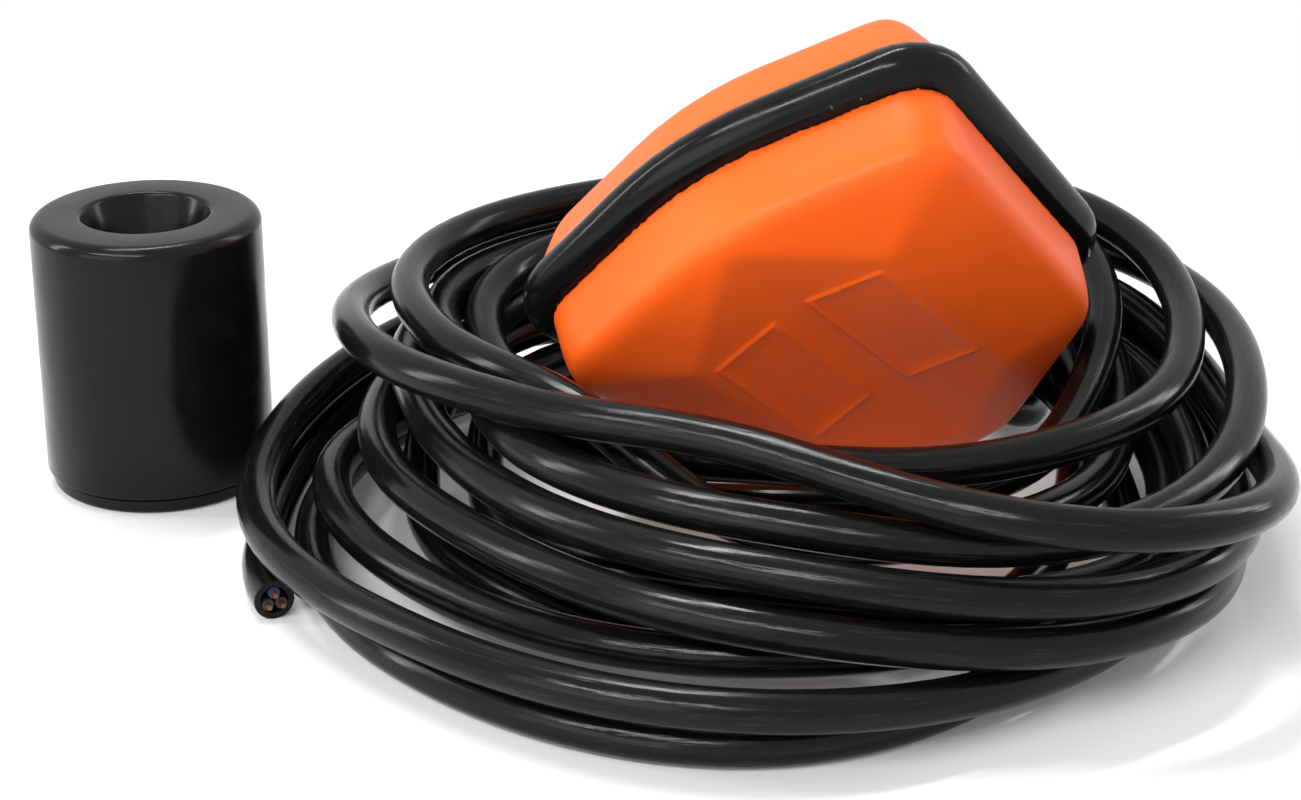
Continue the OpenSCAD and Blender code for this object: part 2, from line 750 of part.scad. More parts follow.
// The cores inside the case, from the cut sheath round the switch to its terminals
lane_y = switch_y + switch_t + 3;
module core(a, first, lane_z, end_z) {
    start = [sheath_end, core_ring * cos(a), core_ring * sin(a)];
    end = [switch_x - terminal_out, plunger_y, end_z + terminal_t / 2];
    points = [
        start - [2, 0, 0],
        [sheath_end, 0, 0] + first,
        [switch_x + switch_l + 1, lane_y, lane_z],
        [switch_x + 2, lane_y, lane_z],
        [end[0] - 1, lane_y - 0.5, (lane_z + end[2]) / 2],
        end + [-5.5, 2, 0],
        end + [-3, 0, 0]
    ];
    in_float() swept(concat([start], stretch(points), [end]), core_d, 8);
}

module core_blue() {
    color("royalblue") core(90, [-8, 4, 3], floor_z + 10, terminal_z[2]);
}

module core_brown() {
    color("saddlebrown") core(210, [-6.6, 2.1, -4.7], floor_z + 2, terminal_z[0]);
}

module core_black() {
    color("black") core(330, [-4.5, 5.5, -1.2], floor_z + 6, terminal_z[1]);
}

front_shell();
rear_shell();
seam_band();
cable_boot();
weight_shell();
weight_base();
weight_ballast();
case_base();
case_lid();
case_gasket();
case_screws();
ball_track();
steel_ball();
lever();
lever_pin();
switch_body();
switch_cover();
switch_plunger();
contact_blade();
contact_terminals();
cable_clamp();
clamp_screws();
entry_grommet();
cable_entry();
cable_coil();
cable_lead();
cable_tail();
cut_cores();
core_blue();
core_brown();
core_black();
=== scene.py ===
import math

import bmesh
import bpy
from bpy.props import (
    FloatProperty,
    FloatVectorProperty,
    IntProperty,
    PointerProperty,
)
from mathutils import Matrix, Vector
from mathutils.kdtree import KDTree


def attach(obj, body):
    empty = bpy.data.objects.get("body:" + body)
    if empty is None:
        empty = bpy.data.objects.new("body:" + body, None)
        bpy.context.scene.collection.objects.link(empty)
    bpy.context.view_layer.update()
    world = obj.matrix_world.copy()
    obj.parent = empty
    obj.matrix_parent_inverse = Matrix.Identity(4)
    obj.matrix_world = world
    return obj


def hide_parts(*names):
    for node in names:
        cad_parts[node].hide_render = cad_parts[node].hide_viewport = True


bl_info = {
    "name": "Cable Float Switch",
    "version": (1, 0, 0),
    "blender": (4, 5, 0),
    "location": "3D View > Sidebar > Float Switch",
    "description": "Builds a cable float switch, its coil of cable and its counterweight",
    "category": "Add Mesh",
}

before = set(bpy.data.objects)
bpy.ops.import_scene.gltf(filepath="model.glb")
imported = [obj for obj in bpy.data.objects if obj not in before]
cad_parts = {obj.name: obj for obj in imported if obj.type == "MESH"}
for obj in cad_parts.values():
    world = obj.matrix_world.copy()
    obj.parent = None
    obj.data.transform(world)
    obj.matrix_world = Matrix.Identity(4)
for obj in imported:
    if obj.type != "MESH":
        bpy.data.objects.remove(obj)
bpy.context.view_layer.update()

MM = 0.001

# ---- the cable's route, in millimetres: each row is one turn, clockwise from the left, and gives
# the radius and the height of the cable's centre at eight places round the turn
COIL_MID = Vector((141.2, -40.3, 0.0))
PLACES = 8
TURNS = (
    (110, 4.5), (111, 14.5), (109.5, 14.5), (111, 14.5), (98, 5), (98, 7), (110, 14.5), (105, 14.5),
    (113, 14.5), (111, 24.5), (110, 26.5), (120.5, 20), (107, 9.3), (110, 16.3), (96, 25.5), (80, 26),
    (85, 25), (98, 23.5), (99, 25), (112, 27), (109, 19.7), (112, 27), (90, 35), (73, 34),
    (75, 34), (99, 33.2), (101, 35), (112, 37), (109, 29.8), (122, 43), (69, 52), (66, 52),
    (88, 50), (109, 40), (111, 44), (122, 43), (110.5, 42), (104, 37), (80.5, 41.6), (67, 42),
    (63, 42), (93.5, 41.8), (94, 44.3), (100.5, 39.8), (82.5, 24.3), (70, 26), (63, 31), (54, 49),
    (72, 52), (98, 51), (101, 53.5), (116, 54), (96, 43), (69, 41), (54, 43), (42.5, 35),
    (51, 35), (81.5, 44.5), (83.5, 50.8), (104.7, 53), (72.5, 31.5), (58, 30), (49, 31), (41, 25),
    (43, 25), (84, 34.4), (87.3, 36.6), (91.5, 34.5), (74, 18.5), (72, 8), (68, 6), (66, 6),
    (75, 8), (88, 24), (88.5, 26.6), (101.6, 28.7), (99.4, 23.2), (99.5, 23.5), (80, 26), (64, 17),
    (60, 10), (77.5, 18.3), (96, 13.6), (100.2, 18.8), (94.4, 14.5), (89, 14), (88, 15), (84, 12),
    (96, 15.5), (92, 11), (90, 4.5), (89.5, 21.9), (86.3, 4.8), (87, 4.5), (105, 4.5), (101, 4.5),
    (100, 4.5), (104, 4.5), (110, 4.5),
)
LEAD_RUN = ((34, 107, 4.5), (52, 99, 4.5), (66, 87, 4.5), (73, 75, 4.5), (72, 64, 6))
TAIL_RUN = ((0, -8, 0), (0.5, -14, 0), (1.5, -20, 0), (3.5, -26, 0), (5.5, -31, 0))
# the cable's straight run past each end of the coil and out of the boot, and its height on the floor
STRAIGHT = 9.0
FLOOR_HEIGHT = 4.5
STEPS_PER_PLACE = 9
STEPS_PER_POINT = 8

# ---- the float's place: its nose, and the turns of its face
FLOAT_AT = Vector((124.2, -55.0, 96.7))
FLOAT_TURN = [math.radians(a) for a in (131.5, 38.7, 40.7)]
BOOT_TIP = 131.0


def float_matrix():
    """The matrix, in metres, that takes the float's own millimetres to the row frame."""
    turn = (
        Matrix.Rotation(FLOAT_TURN[2], 4, "Z")
        @ Matrix.Rotation(FLOAT_TURN[1], 4, "Y")
        @ Matrix.Rotation(FLOAT_TURN[0], 4, "X")
    )
    return Matrix.Translation(FLOAT_AT * MM) @ turn @ Matrix.Scale(MM, 4)


def curve_through(points, u):
    """The point at u, counted from the first, on a smooth curve through points."""
    last = len(points) - 1
    i = min(max(math.floor(u), 0), last - 1)
    t = u - i
    a, b = points[max(i - 1, 0)], points[i]
    c, d = points[i + 1], points[min(i + 2, last)]
    return b + 0.5 * t * (c - a + t * (2 * a - 5 * b + 4 * c - d + t * (3 * (b - c) + d - a)))


def coil_point(rows, u):
    r, z = curve_through(rows, u)
    angle = math.pi - 2 * math.pi * u / PLACES
    return COIL_MID + Vector((r * math.cos(angle), r * math.sin(angle), max(z, FLOOR_HEIGHT)))


def run_through(points):
    points = [Vector(p) for p in points]
    count = (len(points) - 1) * STEPS_PER_POINT
    return [curve_through(points, k / STEPS_PER_POINT) for k in range(count + 1)]


def cable_route():
    """The cable's centreline in metres, from the float's boot to the cut end."""
    rows = [Vector(row) for row in TURNS]
    end = len(rows) - 1
    coil = [coil_point(rows, k / STEPS_PER_PLACE) for k in range(end * STEPS_PER_PLACE + 1)]
    to_row = float_matrix()
    boot = to_row @ Vector((BOOT_TIP, 0, 0)) / MM
    away = (to_row @ Vector((BOOT_TIP + 1, 0, 0)) / MM - boot).normalized()
    lead = [coil[-1] + Vector((2 * STRAIGHT, 0, 0))]
    lead += [COIL_MID + Vector(p) for p in LEAD_RUN] + [boot + away * STRAIGHT]
    tail_start = coil[0] + Vector((0, -STRAIGHT, 0))
    tail = [tail_start + p for p in run_through(TAIL_RUN)]
    route = [boot] + run_through(lead)[::-1]
    route += [coil[-1] + Vector((STRAIGHT, 0, 0))] + coil[::-1] + [tail_start] + tail
    return [p * MM for p in route]


def evened(points, step):
    """The same line with its points a step apart."""
    out = [points[0]]
    left = step
    for a, b in zip(points, points[1:]):
        reach = (b - a).length
        at = left
        while at < reach:
            out.append(a.lerp(b, at / reach))
            at += step
        left = at - reach
    if (out[-1] - points[-1]).length > step / 2:
        out.append(points[-1])
    else:
        out[-1] = points[-1]
    return out


def eased(points, rounds):
    """The line with its small kinks eased; its first and last two points stay."""
    for _ in range(rounds):
        middle = [
            points[i] * 0.5 + (points[i - 1] + points[i + 1]) * 0.25
            for i in range(2, len(points) - 2)
        ]
        points = points[:2] + middle + points[-2:]
    return points


# ---- mesh helpers
def piece_from(bm, name, material, sharp=35.0):
    """A finished object from a bmesh, smooth but for edges sharper than the angle given."""
    for edge in bm.edges:
        turn = edge.calc_face_angle(0.0) if len(edge.link_faces) == 2 else 0.0
        edge.smooth = turn < math.radians(sharp)
    for face in bm.faces:
        face.smooth = True
    mesh = bpy.data.meshes.new(name)
    bm.to_mesh(mesh)
    bm.free()
    obj = bpy.data.objects.new(name, mesh)
    bpy.context.scene.collection.objects.link(obj)
    mesh.materials.append(material)
    return obj


def copy_of(node):
    """A merged bmesh copy of a CAD node, its flats joined."""
    bm = bmesh.new()
    bm.from_mesh(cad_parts[node].data)
    bmesh.ops.remove_doubles(bm, verts=bm.verts, dist=2e-6)
    bmesh.ops.dissolve_limit(bm, angle_limit=math.radians(0.4), verts=bm.verts, edges=bm.edges)
    return bm


def grown(bm, edges, centre, way, scale, shift):
    """Extrudes a ring of edges, scaled about centre and shifted along way, and gives the new ones."""
    made = bmesh.ops.extrude_edge_only(bm, edges=edges)["geom"]
    verts = [g for g in made if isinstance(g, bmesh.types.BMVert)]
    for v in verts:
        v.co = centre + (v.co - centre) * scale + way * shift
    return [g for g in made if isinstance(g, bmesh.types.BMEdge)], centre + way * shift


def ring_near(bm, point, radius):
    return [
        e for e in bm.edges
        if e.is_boundary and all((v.co - point).length < radius for v in e.verts)
    ]


def lathed(profile, steps, centre=(0, 0)):
    """A closed lathe form about a vertical axis from (radius, height) pairs in millimetres."""
    bm = bmesh.new()
    verts = [bm.verts.new((centre[0] * MM + r * MM, centre[1] * MM, z * MM)) for r, z in profile]
    edges = [bm.edges.new((a, b)) for a, b in zip(verts, verts[1:] + verts[:1])]
    bmesh.ops.spin(
        bm, geom=verts + edges, cent=(centre[0] * MM, centre[1] * MM, 0), axis=(0, 0, 1),
        angle=2 * math.pi, steps=steps, use_merge=True, use_duplicate=False,
    )
    bmesh.ops.remove_doubles(bm, verts=bm.verts, dist=1e-6)
    bmesh.ops.recalc_face_normals(bm, faces=bm.faces)
    return bm


def arc(cx, cz, r, start, end, steps):
    """Points of an arc in a profile, in degrees."""
    return [
        (
            cx + r * math.cos(math.radians(start + (end - start) * k / steps)),
            cz + r * math.sin(math.radians(start + (end - start) * k / steps)),
        )
        for k in range(steps + 1)
    ]


# ---- materials
DARK_SPECULAR = 0.16


class Nodes:
    """A short way to build one material's nodes."""

    def __init__(self, name, colour, rough, specular=0.5):
        self.material = bpy.data.materials.new(name)
        self.material.use_nodes = True
        self.tree = self.material.node_tree
        self.shader = self.tree.nodes["Principled BSDF"]
        self.shader.inputs["Base Color"].default_value = (*colour, 1)
        self.shader.inputs["Roughness"].default_value = rough
        self.shader.inputs["Specular IOR Level"].default_value = specular
        self.place = self.add("ShaderNodeTexCoord").outputs["Object"]

    def add(self, kind, **values):
        node = self.tree.nodes.new(kind)
        for key, value in values.items():
            setattr(node, key, value)
        return node

    def link(self, source, target):
        self.tree.links.new(source, target)

    def noise(self, scale, detail=3.0, rough=0.5, place=None, stretch=None):
        node = self.add("ShaderNodeTexNoise")
        node.inputs["Scale"].default_value = scale
        node.inputs["Detail"].default_value = detail
        node.inputs["Roughness"].default_value = rough
        source = place or self.place
        if stretch:
            mapping = self.add("ShaderNodeMapping")
            mapping.inputs["Scale"].default_value = stretch
            self.link(source, mapping.inputs["Vector"])
            source = mapping.outputs["Vector"]
        self.link(source, node.inputs["Vector"])
        return node.outputs["Fac"]

    def ranged(self, source, low, high, to_low, to_high):
        node = self.add("ShaderNodeMapRange")
        for key, value in zip(("From Min", "From Max", "To Min", "To Max"), (low, high, to_low, to_high)):
            node.inputs[key].default_value = value
        self.link(source, node.inputs["Value"])
        return node.outputs["Result"]

    def mixed(self, factor, first, second):
        """A colour between two, each a colour or another node's output."""
        node = self.add("ShaderNodeMix", data_type="RGBA")
        self.link(factor, node.inputs["Factor"])
        for socket, value in ((node.inputs[6], first), (node.inputs[7], second)):
            if isinstance(value, bpy.types.NodeSocket):
                self.link(value, socket)
            else:
                socket.default_value = (*value, 1)
        return node.outputs[2]

    def colour(self, source):
        self.link(source, self.shader.inputs["Base Color"])

    def rough(self, source):
        self.link(source, self.shader.inputs["Roughness"])

    def bump(self, source, distance, strength=1.0, under=None):
        node = self.add("ShaderNodeBump")
        node.inputs["Distance"].default_value = distance
        node.inputs["Strength"].default_value = strength
        self.link(source, node.inputs["Height"])
        if under:
            self.link(under, node.inputs["Normal"])
        self.link(node.outputs["Normal"], self.shader.inputs["Normal"])
        return node.outputs["Normal"]


def shade(colour, factor):
    return tuple(min(c * factor, 1.0) for c in colour)


def moulded(name, colour, rough, spread=0.08, rough_spread=0.06, grain=900.0, depth=0.00003, specular=0.5):
    """Moulded plastic or rubber: faint clouds of colour, patchy gloss and a fine grain."""
    m = Nodes(name, colour, rough, specular)
    clouds = m.ranged(m.noise(28.0, 4.0), 0.35, 0.65, 0.0, 1.0)
    m.colour(m.mixed(clouds, shade(colour, 1 - spread), shade(colour, 1 + spread)))
    m.rough(m.ranged(m.noise(60.0, 5.0), 0.3, 0.7, rough - rough_spread, rough + rough_spread))
    soft = m.bump(m.noise(45.0, 2.0), 0.0004, 0.25)
    m.bump(m.noise(grain, 3.0), depth, 0.6, soft)
    return m.material


def dusty(name, colour, rough, dust, amount, grain=900.0):
    """Dark moulded rubber or plastic with a few pale specks of dust and scuffs."""
    m = Nodes(name, colour, rough, DARK_SPECULAR)
    clouds = m.ranged(m.noise(35.0, 4.0), 0.3, 0.7, 0.0, 1.0)
    base = m.mixed(clouds, shade(colour, 0.8), shade(colour, 1.3))
    specks = m.ranged(m.noise(420.0, 2.0, 0.6), 0.74 - amount, 0.8 - amount, 0.0, 1.0)
    patches = m.ranged(m.noise(22.0, 2.0), 0.45, 0.7, 0.0, 1.0)
    both = m.add("ShaderNodeMath", operation="MULTIPLY")
    m.link(specks, both.inputs[0])
    m.link(patches, both.inputs[1])
    m.colour(m.mixed(both.outputs[0], base, dust))
    m.rough(m.ranged(m.noise(70.0, 6.0, 0.65), 0.3, 0.7, rough - 0.08, rough + 0.1))
    soft = m.bump(m.noise(55.0, 2.0), 0.0004, 0.3)
    m.bump(m.noise(grain, 4.0, 0.6), 0.00004, 0.5, soft)
    return m.material


def metal(name, colour, rough, stretch=(1, 1, 1), depth=0.00002):
    """Metal with fine drawn lines and small changes of gloss."""
    m = Nodes(name, colour, rough)
    m.shader.inputs["Metallic"].default_value = 1.0
    lines = m.noise(700.0, 4.0, 0.6, stretch=stretch)
    m.colour(m.mixed(m.ranged(lines, 0.3, 0.7, 0.0, 1.0), shade(colour, 0.85), shade(colour, 1.08)))
    m.rough(m.ranged(m.noise(180.0, 5.0), 0.3, 0.7, rough - 0.07, rough + 0.1))
    m.bump(lines, depth, 0.5)
    return m.material


def cable_rubber(name, colour, rough):
    """Extruded rubber: fine lines along the cable, a slow change of gloss and a few rubbed places."""
    m = Nodes(name, colour, rough, DARK_SPECULAR)
    lay = m.add("ShaderNodeAttribute", attribute_name="lay").outputs["Vector"]
    lines = m.noise(9.0, 5.0, 0.6, place=lay, stretch=(1.0, 1.0, 6.0))
    slow = m.noise(4.0, 3.0, place=lay, stretch=(0.5, 0.5, 9.0))
    rubbed = m.ranged(m.noise(5.0, 6.0, 0.7, place=lay, stretch=(1.0, 1.0, 14.0)), 0.56, 0.72, 0.0, 1.0)
    base = m.mixed(slow, shade(colour, 0.75), shade(colour, 1.25))
    m.colour(m.mixed(m.ranged(rubbed, 0.0, 1.0, 0.0, 0.3), base, (0.06, 0.06, 0.062)))
    m.rough(m.ranged(slow, 0.3, 0.7, rough - 0.06, rough + 0.1))
    wave = m.bump(slow, 0.0006, 0.3)
    m.bump(lines, 0.00012, 0.35, wave)
    return m.material


# ---- settings
class CableSettings(bpy.types.PropertyGroup):
    diameter: FloatProperty(
        name="Diameter", description="Outside diameter of the rubber cable",
        default=0.009, min=0.004, max=0.02, unit="LENGTH",
    )
    sides: IntProperty(name="Sides", description="Flats round the cable's surface", default=20, min=8, max=32)
    colour: FloatVectorProperty(
        name="Sheath colour", description="Colour of the rubber sheath",
        default=(0.004, 0.004, 0.0044), size=3, min=0, max=1, subtype="COLOR",
    )


class FloatSettings(bpy.types.PropertyGroup):
    rounding: FloatProperty(
        name="Shoulder reach", description="How far each way the shoulder's rounding runs",
        default=0.0075, min=0.002, max=0.012, unit="LENGTH",
    )
    frame_raise: FloatProperty(
        name="Frame height", description="How far the frames round the bare panels stand up",
        default=0.0003, min=0.0, max=0.001, unit="LENGTH",
    )
    colour: FloatVectorProperty(
        name="Shell colour", description="Colour of the float's two shells",
        default=(0.93, 0.115, 0.009), size=3, min=0, max=1, subtype="COLOR",
    )
    band_colour: FloatVectorProperty(
        name="Band colour", description="Colour of the band round the seam",
        default=(0.004, 0.004, 0.0044), size=3, min=0, max=1, subtype="COLOR",
    )


class WeightSettings(bpy.types.PropertyGroup):
    rounding: FloatProperty(
        name="Top rounding", description="Rounding of the counterweight's top edge",
        default=0.003, min=0.0005, max=0.006, unit="LENGTH",
    )
    colour: FloatVectorProperty(
        name="Counterweight colour", description="Colour of the counterweight's skin",
        default=(0.0045, 0.0045, 0.005), size=3, min=0, max=1, subtype="COLOR",
    )


class StageSettings(bpy.types.PropertyGroup):
    floor_size: FloatProperty(
        name="Floor size", description="Length of the pale floor's sides",
        default=12.0, min=2.0, max=40.0, unit="LENGTH",
    )
    key_power: FloatProperty(
        name="Key light", description="Power that the lamps take their shares of, in watts",
        default=17.0, min=0.0, max=200.0,
    )


def seen_directly(tree):
    """The share of a pale surface that the camera, and a mirror or glass in its view, see as white."""
    path = tree.nodes.new("ShaderNodeLightPath")
    total = path.outputs["Is Camera Ray"]
    for name in ("Is Glossy Ray", "Is Transmission Ray"):
        add = tree.nodes.new("ShaderNodeMath")
        add.operation = "ADD"
        add.use_clamp = True
        tree.links.new(total, add.inputs[0])
        tree.links.new(path.outputs[name], add.inputs[1])
        total = add.outputs[0]
    return total


# ---- operators
class StageOperator(bpy.types.Operator):
    """Adds the camera, the lamps, the world and the floor"""

    bl_idname = "float_switch.stage"
    bl_label = "Stage"
    eye = (0.1182, -0.6563, 0.2867)
    eye_tilt = 67.77
    focal_length = 81.74
    target = Vector((0.11, -0.02, 0.04))
    # each lamp's name, place, width and height, and share of the key light's power
    lamps = (
        ("key_lamp", (-0.45, -1.0, 0.95), (1.2, 0.06), 0.85),
        ("front_lamp", (-0.6, -0.9, 0.2), (0.9, 0.5), 0.2),
        ("top_lamp", (-0.1, 0.25, 1.2), (0.7, 0.08), 0.6),
        ("side_lamp", (1.1, 0.35, 0.55), (0.15, 0.8), 0.2),
        ("left_lamp", (-1.1, 0.0, 0.5), (0.15, 0.8), 0.3),
    )
    room_strength = 0.5
    floor_gap = 0.00005
    # how white the floor is to the eye under the object and away from it, and where that changes: the glow
    # that rises away from the object is painted light, whitening the object's cast shadow on the floor
    near_share = 0.08
    far_share = 1.0
    near_reach = 0.25
    far_reach = 0.42

    def execute(self, context):
        settings = context.scene.float_switch_stage
        scene = context.scene
        scene.view_settings.view_transform = "Standard"
        camera = bpy.data.cameras.new("view_camera")
        camera.lens = self.focal_length
        camera.sensor_width = 36.0
        camera.clip_start = 0.02
        holder = bpy.data.objects.new("view_camera", camera)
        holder.location = self.eye
        holder.rotation_euler = (math.radians(self.eye_tilt), 0, 0)
        scene.collection.objects.link(holder)
        scene.camera = holder
        for name, at, size, share in self.lamps:
            self.lamp(scene, name, at, size, share * settings.key_power)
        self.world(scene)
        self.floor(scene, settings.floor_size)
        return {"FINISHED"}

    def lamp(self, scene, name, at, size, power):
        data = bpy.data.lights.new(name, "AREA")
        data.shape = "RECTANGLE"
        data.size, data.size_y = size
        data.energy = power
        lamp = bpy.data.objects.new(name, data)
        lamp.location = at
        lamp.rotation_euler = (self.target - Vector(at)).to_track_quat("-Z", "Y").to_euler()
        scene.collection.objects.link(lamp)

    def world(self, scene):
        world = bpy.data.worlds.new("pale_room")
        scene.world = world
        world.use_nodes = True
        tree = world.node_tree
        tree.nodes.clear()
        out = tree.nodes.new("ShaderNodeOutputWorld")
        mix = tree.nodes.new("ShaderNodeMixShader")
        room = tree.nodes.new("ShaderNodeBackground")
        room.inputs["Strength"].default_value = self.room_strength
        white = tree.nodes.new("ShaderNodeBackground")
        for node in (room, white):
            node.inputs["Color"].default_value = (1, 1, 1, 1)
        seen = seen_directly(tree)
        tree.links.new(seen, mix.inputs["Fac"])
        tree.links.new(room.outputs[0], mix.inputs[1])
        tree.links.new(white.outputs[0], mix.inputs[2])
        tree.links.new(mix.outputs[0], out.inputs["Surface"])

    def floor(self, scene, size):
        bm = bmesh.new()
        bmesh.ops.create_grid(bm, x_segments=1, y_segments=1, size=size / 2)
        mesh = bpy.data.meshes.new("floor")
        bm.to_mesh(mesh)
        bm.free()
        floor = bpy.data.objects.new("floor", mesh)
        floor.location = (0, 0, -self.floor_gap)
        scene.collection.objects.link(floor)
        m = Nodes("pale_floor", (0.86, 0.86, 0.86), 0.7)
        glow = m.add("ShaderNodeEmission")
        away = m.add("ShaderNodeVectorMath", operation="LENGTH")
        m.link(m.place, away.inputs[0])
        share = m.add("ShaderNodeMath", operation="MULTIPLY")
        # painted light: the floor's glow seen by the camera grows with distance from the middle and whitens
        # the object's cast shadow there
        white = m.ranged(
            away.outputs["Value"], self.near_reach, self.far_reach, self.near_share, self.far_share,
        )
        m.link(white, share.inputs[0])
        m.link(seen_directly(m.tree), share.inputs[1])
        mix = m.add("ShaderNodeMixShader")
        m.link(share.outputs[0], mix.inputs["Fac"])
        m.link(m.shader.outputs[0], mix.inputs[1])
        m.link(glow.outputs[0], mix.inputs[2])
        m.link(mix.outputs[0], m.tree.nodes["Material Output"].inputs["Surface"])
        mesh.materials.append(m.material)


class CableOperator(bpy.types.Operator):
    """Builds the cable from the float's boot, round its coil, to its cut end"""

    bl_idname = "float_switch.cable"
    bl_label = "Cable"
    step = 0.006
    bore = 0.0031
    bore_depth = 0.008
    lip = 0.00025
    dome_steps = 5
    core_ring = 0.001717
    core_radius = 0.0013
    core_out = 0.0002
    strand_ring = 0.00038
    strand_radius = 0.00019
    strand_in = 0.001
    strand_out = 0.002

    def execute(self, context):
        settings = context.scene.float_switch_cable
        radius = settings.diameter / 2
        route = eased(evened(cable_route(), self.step), 2)
        cable = self.tube(context, route, radius, settings)
        ends = self.cut_cores(route)
        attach(cable, "cable")
        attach(ends, "cable")
        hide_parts("cable_coil", "cable_lead", "cable_tail")
        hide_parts("cut_cores")
        return {"FINISHED"}

    def tube(self, context, route, radius, settings):
        curve = bpy.data.curves.new("cable_line", "CURVE")
        curve.dimensions = "3D"
        curve.bevel_depth = radius
        curve.bevel_resolution = (settings.sides - 4) // 2
        curve.resolution_u = 1
        spline = curve.splines.new("POLY")
        spline.points.add(len(route) - 1)
        for point, p in zip(spline.points, route):
            point.co = (*p, 1)
        line = bpy.data.objects.new("cable_line", curve)
        context.scene.collection.objects.link(line)
        depsgraph = context.evaluated_depsgraph_get()
        mesh = bpy.data.meshes.new_from_object(line.evaluated_get(depsgraph))
        bm = bmesh.new()
        bm.from_mesh(mesh)
        bpy.data.objects.remove(line)
        bpy.data.curves.remove(curve)
        bpy.data.meshes.remove(mesh)
        self.round_end(bm, route, radius)
        self.cut_end(bm, route, radius)
        bmesh.ops.recalc_face_normals(bm, faces=bm.faces)
        rubber = cable_rubber("cable rubber", tuple(settings.colour), 0.15)
        cable = piece_from(bm, "cable", rubber, 40.0)
        self.lay_marks(cable.data, route)
        return cable

    def round_end(self, bm, route, radius):
        """The end inside the boot is domed, so that it stays closed as the float tilts."""
        centre = route[0]
        way = (route[0] - route[1]).normalized()
        ring = ring_near(bm, centre, radius * 1.3)
        if not ring:
            raise RuntimeError("The cable's first ring wasn't found")
        for k in range(1, self.dome_steps + 1):
            a, b = (math.pi / 2 * j / (self.dome_steps + 0.5) for j in (k - 1, k))
            scale = math.cos(b) / math.cos(a)
            ring, centre = grown(bm, ring, centre, way, scale, radius * (math.sin(b) - math.sin(a)))
        bmesh.ops.contextual_create(bm, geom=ring)

    def cut_end(self, bm, route, radius):
        """The sheath's cut end: a thin rim, a flat ring and the bore round the cores."""
        centre = route[-1]
        way = (route[-1] - route[-2]).normalized()
        ring = ring_near(bm, centre, radius * 1.3)
        if not ring:
            raise RuntimeError("The cable's last ring wasn't found")
        ring, centre = grown(bm, ring, centre, way, 1 - self.lip / radius, 0.0)
        ring, centre = grown(bm, ring, centre, way, self.bore / (radius - self.lip), 0.0)
        ring, centre = grown(bm, ring, centre, way, 1.0, -self.bore_depth)
        bmesh.ops.contextual_create(bm, geom=ring)

    def lay_marks(self, mesh, route):
        """Marks each point with its place round and along the cable, for the lines in the rubber."""
        tree = KDTree(len(route))
        for i, p in enumerate(route):
            tree.insert(p, i)
        tree.balance()
        along, across = [0.0], []
        for a, b in zip(route, route[1:]):
            along.append(along[-1] + (b - a).length)
        way = (route[1] - route[0]).normalized()
        side = way.orthogonal().normalized()
        for i in range(len(route)):
            j = min(i, len(route) - 2)
            way = (route[j + 1] - route[j]).normalized()
            side = (side - way * side.dot(way)).normalized()
            across.append((side.copy(), way.cross(side)))
        marks = mesh.attributes.new("lay", "FLOAT_VECTOR", "POINT")
        for v in mesh.vertices:
            p, i, _ = tree.find(v.co)
            out = (v.co - p).normalized() if (v.co - p).length > 1e-7 else across[i][0]
            marks.data[v.index].vector = (out.dot(across[i][0]), out.dot(across[i][1]), along[i])

    def cut_cores(self, route):
        """Three insulated cores with their copper strands, at the cut end."""
        way = (route[-1] - route[-2]).normalized()
        side = way.cross(Vector((0, 0, 1))).normalized()
        up = side.cross(way)
        turn = Matrix((side, up, way)).transposed().to_4x4()
        bm = bmesh.new()
        for k, angle in enumerate((90, 210, 330)):
            a = math.radians(angle)
            middle = Vector((math.cos(a), math.sin(a), 0)) * self.core_ring
            self.rod(bm, middle, self.core_radius, -self.bore_depth, self.core_out, k)
            # six strands in a ring and one in the middle
            for j in range(7):
                b = 2 * math.pi * j / 6
                spot = middle + Vector((math.cos(b), math.sin(b), 0)) * (self.strand_ring if j < 6 else 0.0)
                self.rod(bm, spot, self.strand_radius, -self.strand_in, self.strand_out, 3)
        bm.transform(Matrix.Translation(route[-1]) @ turn)
        ends = piece_from(bm, "core_ends", moulded("blue insulation", (0.008, 0.02, 0.07), 0.5))
        ends.data.materials.append(moulded("brown insulation", (0.035, 0.015, 0.008), 0.5))
        ends.data.materials.append(moulded("black insulation", (0.015, 0.015, 0.015), 0.4))
        ends.data.materials.append(metal("copper strands", (0.3, 0.15, 0.08), 0.5))
        return ends

    def rod(self, bm, middle, radius, low, high, slot):
        place = Matrix.Translation(middle + Vector((0, 0, (low + high) / 2)))
        made = bmesh.ops.create_cone(
            bm, cap_ends=True, segments=20 if slot < 3 else 8, radius1=radius, radius2=radius,
            depth=high - low, matrix=place,
        )
        for v in made["verts"]:
            for face in v.link_faces:
                face.material_index = slot


